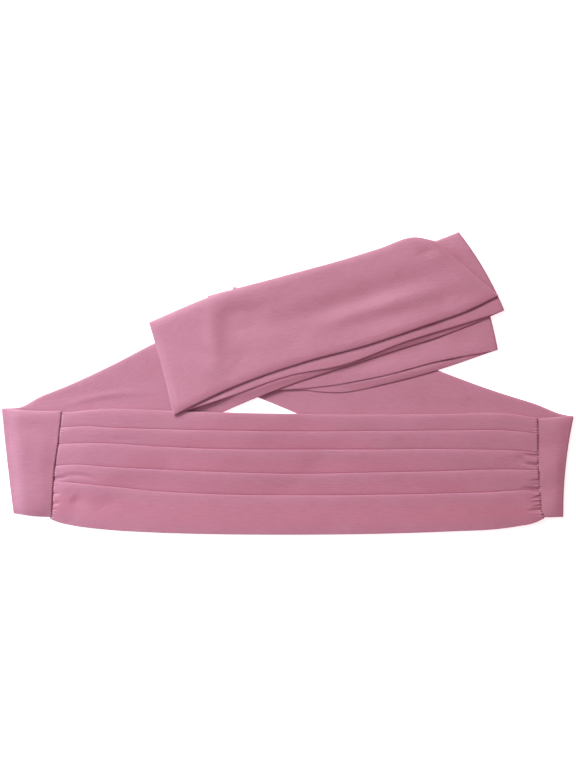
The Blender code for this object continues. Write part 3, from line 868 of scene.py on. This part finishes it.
def add_stitch(made, start, end):
    """A short round thread that arches from its start to its end and is thinner at both."""
    along = (end - start).normalized()
    side = UPWARD.cross(along).normalized()
    up = along.cross(side)
    rings = []
    for t in np.linspace(0.0, 1.0, STITCH_POINTS):
        arch = math.sin(math.pi * t)
        centre = start.lerp(end, t) + up * (STITCH_ARCH + STITCH_THICK) * arch
        radius = STITCH_THICK / 2 * (STITCH_TIP + (1 - STITCH_TIP) * math.sqrt(arch))
        rings.append([
            made.verts.new((centre + radius * (math.cos(a) * side + math.sin(a) * up)) * MM)
            for a in np.linspace(0.0, 2 * math.pi, STITCH_SIDES, endpoint=False)
        ])
    for one, two in zip(rings, rings[1:]):
        for i in range(STITCH_SIDES):
            j = (i + 1) % STITCH_SIDES
            made.faces.new((one[i], two[i], two[j], one[j]))
    made.faces.new(rings[0])
    made.faces.new(rings[-1][::-1])


def stitch_row(name, seam, ahead, pieces):
    """Slanting stitches over a seam, which enter the cloth at both ends. The panel lies ahead
    of the seam, on the side of +X for 1 and of -X for -1."""
    trees = [tree_of(piece) for piece in pieces]
    random = np.random.default_rng(len(name))
    made = bmesh.new()
    last = seam[-1].y + STITCH_PITCH
    for y in np.arange(seam[0].y - STITCH_PITCH, last, -STITCH_PITCH):
        y += random.uniform(-STITCH_JITTER, STITCH_JITTER)
        x = float(seam_x(seam, np.array([y]))[0])
        to_tie = ahead * STITCH_BACK * random.uniform(*STITCH_SPREAD)
        to_panel = ahead * STITCH_AHEAD * random.uniform(*STITCH_SPREAD)
        start = Vector((x - to_tie, y + STITCH_SLANT / 2, 0.0))
        end = Vector((x + to_panel, y - STITCH_SLANT / 2, 0.0))
        for tip in (start, end):
            tip.z = top_of(trees, tip.x, tip.y) - STITCH_THICK / 2
        add_stitch(made, start, end)
    bmesh.ops.recalc_face_normals(made, faces=made.faces)
    mesh = bpy.data.meshes.new(name)
    made.to_mesh(mesh)
    made.free()
    return smooth_object(name, mesh)


# ---------------------------------------------------------------- materials

CHIFFON_LOOK = {
    "Specular IOR Level": 0.95,
    "Specular Tint": (0.9, 0.86, 1.0, 1.0),
    "Subsurface Weight": 0.35,
    "Subsurface Radius": (1.0, 0.3, 0.4),
    "Subsurface Scale": 1.1 * MM,
    "Sheen Weight": 0.06,
    "Sheen Roughness": 0.5,
    "Sheen Tint": (1.0, 0.6, 0.75, 1.0),
}

# The cloth's noises have their scales per metre: streaks on stretched places, crepe and clouds.
STREAKS = {"Scale": 1.0, "Detail": 4.0, "Roughness": 0.7}
STREAK_STRETCH = (90.0, 620.0, 1.0)      # along the cloth and across it
STREAK_TURN = math.radians(15.0)         # moves the ties' streaks to other places
CREPE = {"Scale": 1500.0, "Detail": 2.0, "Roughness": 0.6}
CLOUDS = {"Scale": 38.0, "Detail": 3.0, "Roughness": 0.55}
CLOUD_SHARE = 0.35                       # how much the clouds add to the streaks' shade
SHADE_RANGE = {"From_Min": 0.45, "From_Max": 0.90}
ROUGHNESS_RANGE = {"To_Min": 0.52, "To_Max": 0.66}
STREAK_RELIEF = 1.6                      # how high the streaks stand beside the crepe

# A relief finer than the mesh: its strength, and its height in metres.
CLOTH_RELIEF = {"Strength": 0.9, "Distance": 0.00017}
THREAD_RELIEF = {"Strength": 0.4, "Distance": 0.00005}

THREAD_LOOK = {"Roughness": 0.42}
# The thread's two colours are darker than the thread alone: painted shade of the needle holes
# along the seams.
THREAD_AND_SHADE_COLOURS = ((0.22, 0.048, 0.08, 1.0), (0.30, 0.078, 0.12, 1.0))
TWIST = {"Scale": 900.0, "Distortion": 1.0}


def node(tree, kind, **inputs):
    """A node whose sockets have the values that are given under their names."""
    made = tree.nodes.new(kind)
    for name, value in inputs.items():
        made.inputs[name.replace("_", " ")].default_value = value
    return made


def mixed(tree, share, one, other):
    """A colour between two, each given as a value or as another node's output."""
    mix = tree.nodes.new("ShaderNodeMix")
    mix.data_type = "RGBA"
    tree.links.new(share, mix.inputs["Factor"])
    for socket, colour in ((mix.inputs[6], one), (mix.inputs[7], other)):
        if isinstance(colour, tuple):
            socket.default_value = colour
        else:
            tree.links.new(colour, socket)
    return mix.outputs[2]


def noise(tree, places, look):
    made = node(tree, "ShaderNodeTexNoise", **look)
    tree.links.new(places, made.inputs["Vector"])
    return made.outputs["Fac"]


def weighted_sum(tree, value, weight, added):
    """The value times its weight, plus what is added."""
    made = tree.nodes.new("ShaderNodeMath")
    made.operation = "MULTIPLY_ADD"
    tree.links.new(value, made.inputs[0])
    made.inputs[1].default_value = weight
    tree.links.new(added, made.inputs[2])
    return made.outputs["Value"]


def ranged(tree, value, limits):
    """The value brought from one range to another; a range that isn't given is 0 to 1."""
    made = node(tree, "ShaderNodeMapRange", **limits)
    tree.links.new(value, made.inputs["Value"])
    return made.outputs["Result"]


def add_relief(tree, shader, height, relief):
    bump = node(tree, "ShaderNodeBump", **relief)
    tree.links.new(height, bump.inputs["Height"])
    tree.links.new(bump.outputs["Normal"], shader.inputs["Normal"])


def chiffon_material(name, turn):
    """Dusty pink crepe: uneven streaks along the cloth, a pebbled face, soft cloudy shades of
    the dye, a cool shine, and rubbed, paler edges and folds."""
    material, tree, shader = new_material(name, CHIFFON_LOOK)
    uv = tree.nodes.new("ShaderNodeTexCoord").outputs["UV"]
    stretch = node(tree, "ShaderNodeMapping", Rotation=(0.0, 0.0, turn), Scale=STREAK_STRETCH)
    tree.links.new(uv, stretch.inputs["Vector"])
    streaks = noise(tree, stretch.outputs["Vector"], STREAKS)
    crepe = noise(tree, uv, CREPE)
    clouds = noise(tree, uv, CLOUDS)

    shade = ranged(tree, weighted_sum(tree, clouds, CLOUD_SHARE, streaks), SHADE_RANGE)
    dyed = mixed(tree, shade, ROSE.deep, ROSE.pale)
    rubbed = tree.nodes.new("ShaderNodeAttribute")
    rubbed.attribute_name = RUBBED
    colour = mixed(tree, rubbed.outputs["Fac"], dyed, ROSE.worn)
    tree.links.new(colour, shader.inputs["Base Color"])
    tree.links.new(ranged(tree, crepe, ROUGHNESS_RANGE), shader.inputs["Roughness"])
    add_relief(tree, shader, weighted_sum(tree, streaks, STREAK_RELIEF, crepe), CLOTH_RELIEF)
    return material


def thread_and_painted_shade_material():
    """Deep rose sewing thread with its twist showing, made darker than the thread alone to paint
    the shade of the needle holes along the seams.
    """
    material, tree, shader = new_material("thread", THREAD_LOOK)
    places = tree.nodes.new("ShaderNodeTexCoord").outputs["Object"]
    twist = node(tree, "ShaderNodeTexWave", **TWIST)
    twist.bands_direction = "DIAGONAL"
    tree.links.new(places, twist.inputs["Vector"])
    colours = tree.nodes.new("ShaderNodeValToRGB")
    for stop, colour in zip(colours.color_ramp.elements, THREAD_AND_SHADE_COLOURS):
        stop.color = colour
    tree.links.new(twist.outputs["Fac"], colours.inputs["Fac"])
    tree.links.new(colours.outputs["Color"], shader.inputs["Base Color"])
    add_relief(tree, shader, twist.outputs["Fac"], THREAD_RELIEF)
    return material


# ---------------------------------------------------------------- the belt


def dress(piece, material, nodes):
    """Gives a piece its cloth and its place on the frame, and hides the CAD parts that it stands
    for.
    """
    piece.data.materials.append(material)
    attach(piece, BODY)
    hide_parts(*nodes)


def rows_from(first, stations, last=None):
    """The rows of points across a stretch of tie: on its first fold, at its stations and on the
    last fold, if it has one."""
    rows = [fold_points(first, LOOP_START)[0], *map(station_points, stations)]
    if last:
        rows.append(fold_points(last, LOOP_START)[0])
    return rows


def joined(stretches, folds):
    """A tie's whole way: its stretches, with a loop round the fold between each two."""
    way = [stretches[0]]
    for fold, before, after in zip(folds, stretches, stretches[1:]):
        way += [fold_loop(fold, before[-1], after[0]), after]
    return np.concatenate(way)


def lay_lower_plies(below):
    """Lays the right tie's three stretches behind the panel and the left tie's lowest one."""
    rows = rows_from(OUTER_RIGHT, RIGHT_RISE, UNDER_LEFT_TURN)
    right_rise = tie_stretch(below, rows, RIGHT_RISE_CREASES)
    below.lay(right_rise, TIE_THICK)

    rows = rows_from(UNDER_LEFT_TURN, RIGHT_RETURN, UNDER_RIGHT_TURN)
    right_return = tie_stretch(below, rows, RIGHT_RETURN_CREASES)
    below.lay(right_return, TIE_THICK)

    rows = rows_from(UNDER_RIGHT_TURN, RIGHT_UNDER)
    right_under = tie_stretch(below, rows, fine_end=True)
    below.lay(right_under, TIE_THICK)

    rows = rows_from(OUTER_LEFT, LEFT_RISE, RIGHT_TURN)
    left_rise = tie_stretch(below, rows, LEFT_RISE_CREASES)
    below.lay(left_rise, TIE_THICK)
    return right_rise, right_return, right_under, left_rise


def lay_sewn_plies(below):
    """Lays the two end bands and the panel between them, which is sewn to both."""
    rows = [*rows_from(OUTER_LEFT, LEFT_END), seam_points(LEFT_SEAM)]
    left_end = tie_stretch(
        below, rows, LEFT_END_CREASES, LEFT_END_PUFF, sewn=LEFT_SEWN, fine_end=True
    )
    rows = [*rows_from(OUTER_RIGHT, RIGHT_END), seam_points(RIGHT_SEAM)]
    right_end = tie_stretch(
        below, rows, RIGHT_END_CREASES, RIGHT_END_PUFF, sewn=RIGHT_SEWN, fine_end=True
    )
    panel, folded = panel_middle(below)
    below.lay(left_end, TIE_THICK)
    below.lay(right_end, TIE_THICK)
    below.lay(panel, PANEL_THICK)
    return left_end, right_end, panel, folded


def lay_upper_plies(below):
    """Lays the left tie's two stretches in front of the panel."""
    left_back = tie_stretch(below, rows_from(RIGHT_TURN, LEFT_BACK, LEFT_TURN))
    below.lay(left_back, TIE_THICK)
    rows = rows_from(LEFT_TURN, LEFT_TOP)
    left_top = tie_stretch(
        below, rows, LEFT_TOP_CREASES, TOP_PUFF, slope=TOP_SLOPE, gap=TOP_GAP, fine_end=True
    )
    return left_back, left_top


def build_belt():
    """Lays the plies from the lowest to the highest, each on all those before it, and makes
    the two ties, the panel and the stitches of them."""
    below = HeightMap()
    right_rise, right_return, right_under, left_rise = lay_lower_plies(below)
    left_end, right_end, panel, folded = lay_sewn_plies(below)
    left_back, left_top = lay_upper_plies(below)

    cloth = chiffon_material("tie_chiffon", STREAK_TURN)
    way = joined(
        [left_end[::-1], left_rise, left_back, left_top], [OUTER_LEFT, RIGHT_TURN, LEFT_TURN]
    )
    left_tie = soft_sheet("left_tie", way, TIE_THICK, TIE_ROLL)
    nodes = ["tie_left_end", "tie_left_rise", "tie_left_back", "tie_left_top"]
    dress(left_tie, cloth, nodes)

    way = joined(
        [right_end[::-1], right_rise, right_return, right_under],
        [OUTER_RIGHT, UNDER_LEFT_TURN, UNDER_RIGHT_TURN],
    )
    right_tie = soft_sheet("right_tie", way, TIE_THICK, TIE_ROLL)
    nodes = ["tie_right_end", "tie_right_rise", "tie_right_return", "tie_right_under"]
    dress(right_tie, cloth, nodes)

    cloth = chiffon_material("panel_chiffon", 0.0)
    pleated = soft_sheet("pleated_panel", panel, PANEL_THICK, PANEL_THICK, folded)
    dress(pleated, cloth, ["front_panel"])

    thread = thread_and_painted_shade_material()
    for name, seam, ahead in (("left_stitches", LEFT_SEAM, 1), ("right_stitches", RIGHT_SEAM, -1)):
        stitches = stitch_row(name, seam, ahead, [left_tie, right_tie, pleated])
        # The thread's dark colours paint the needle holes' shade into the stitches along each
        # seam.
        stitches.data.materials.append(thread)
        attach(stitches, BODY)


add_studio()
build_belt()
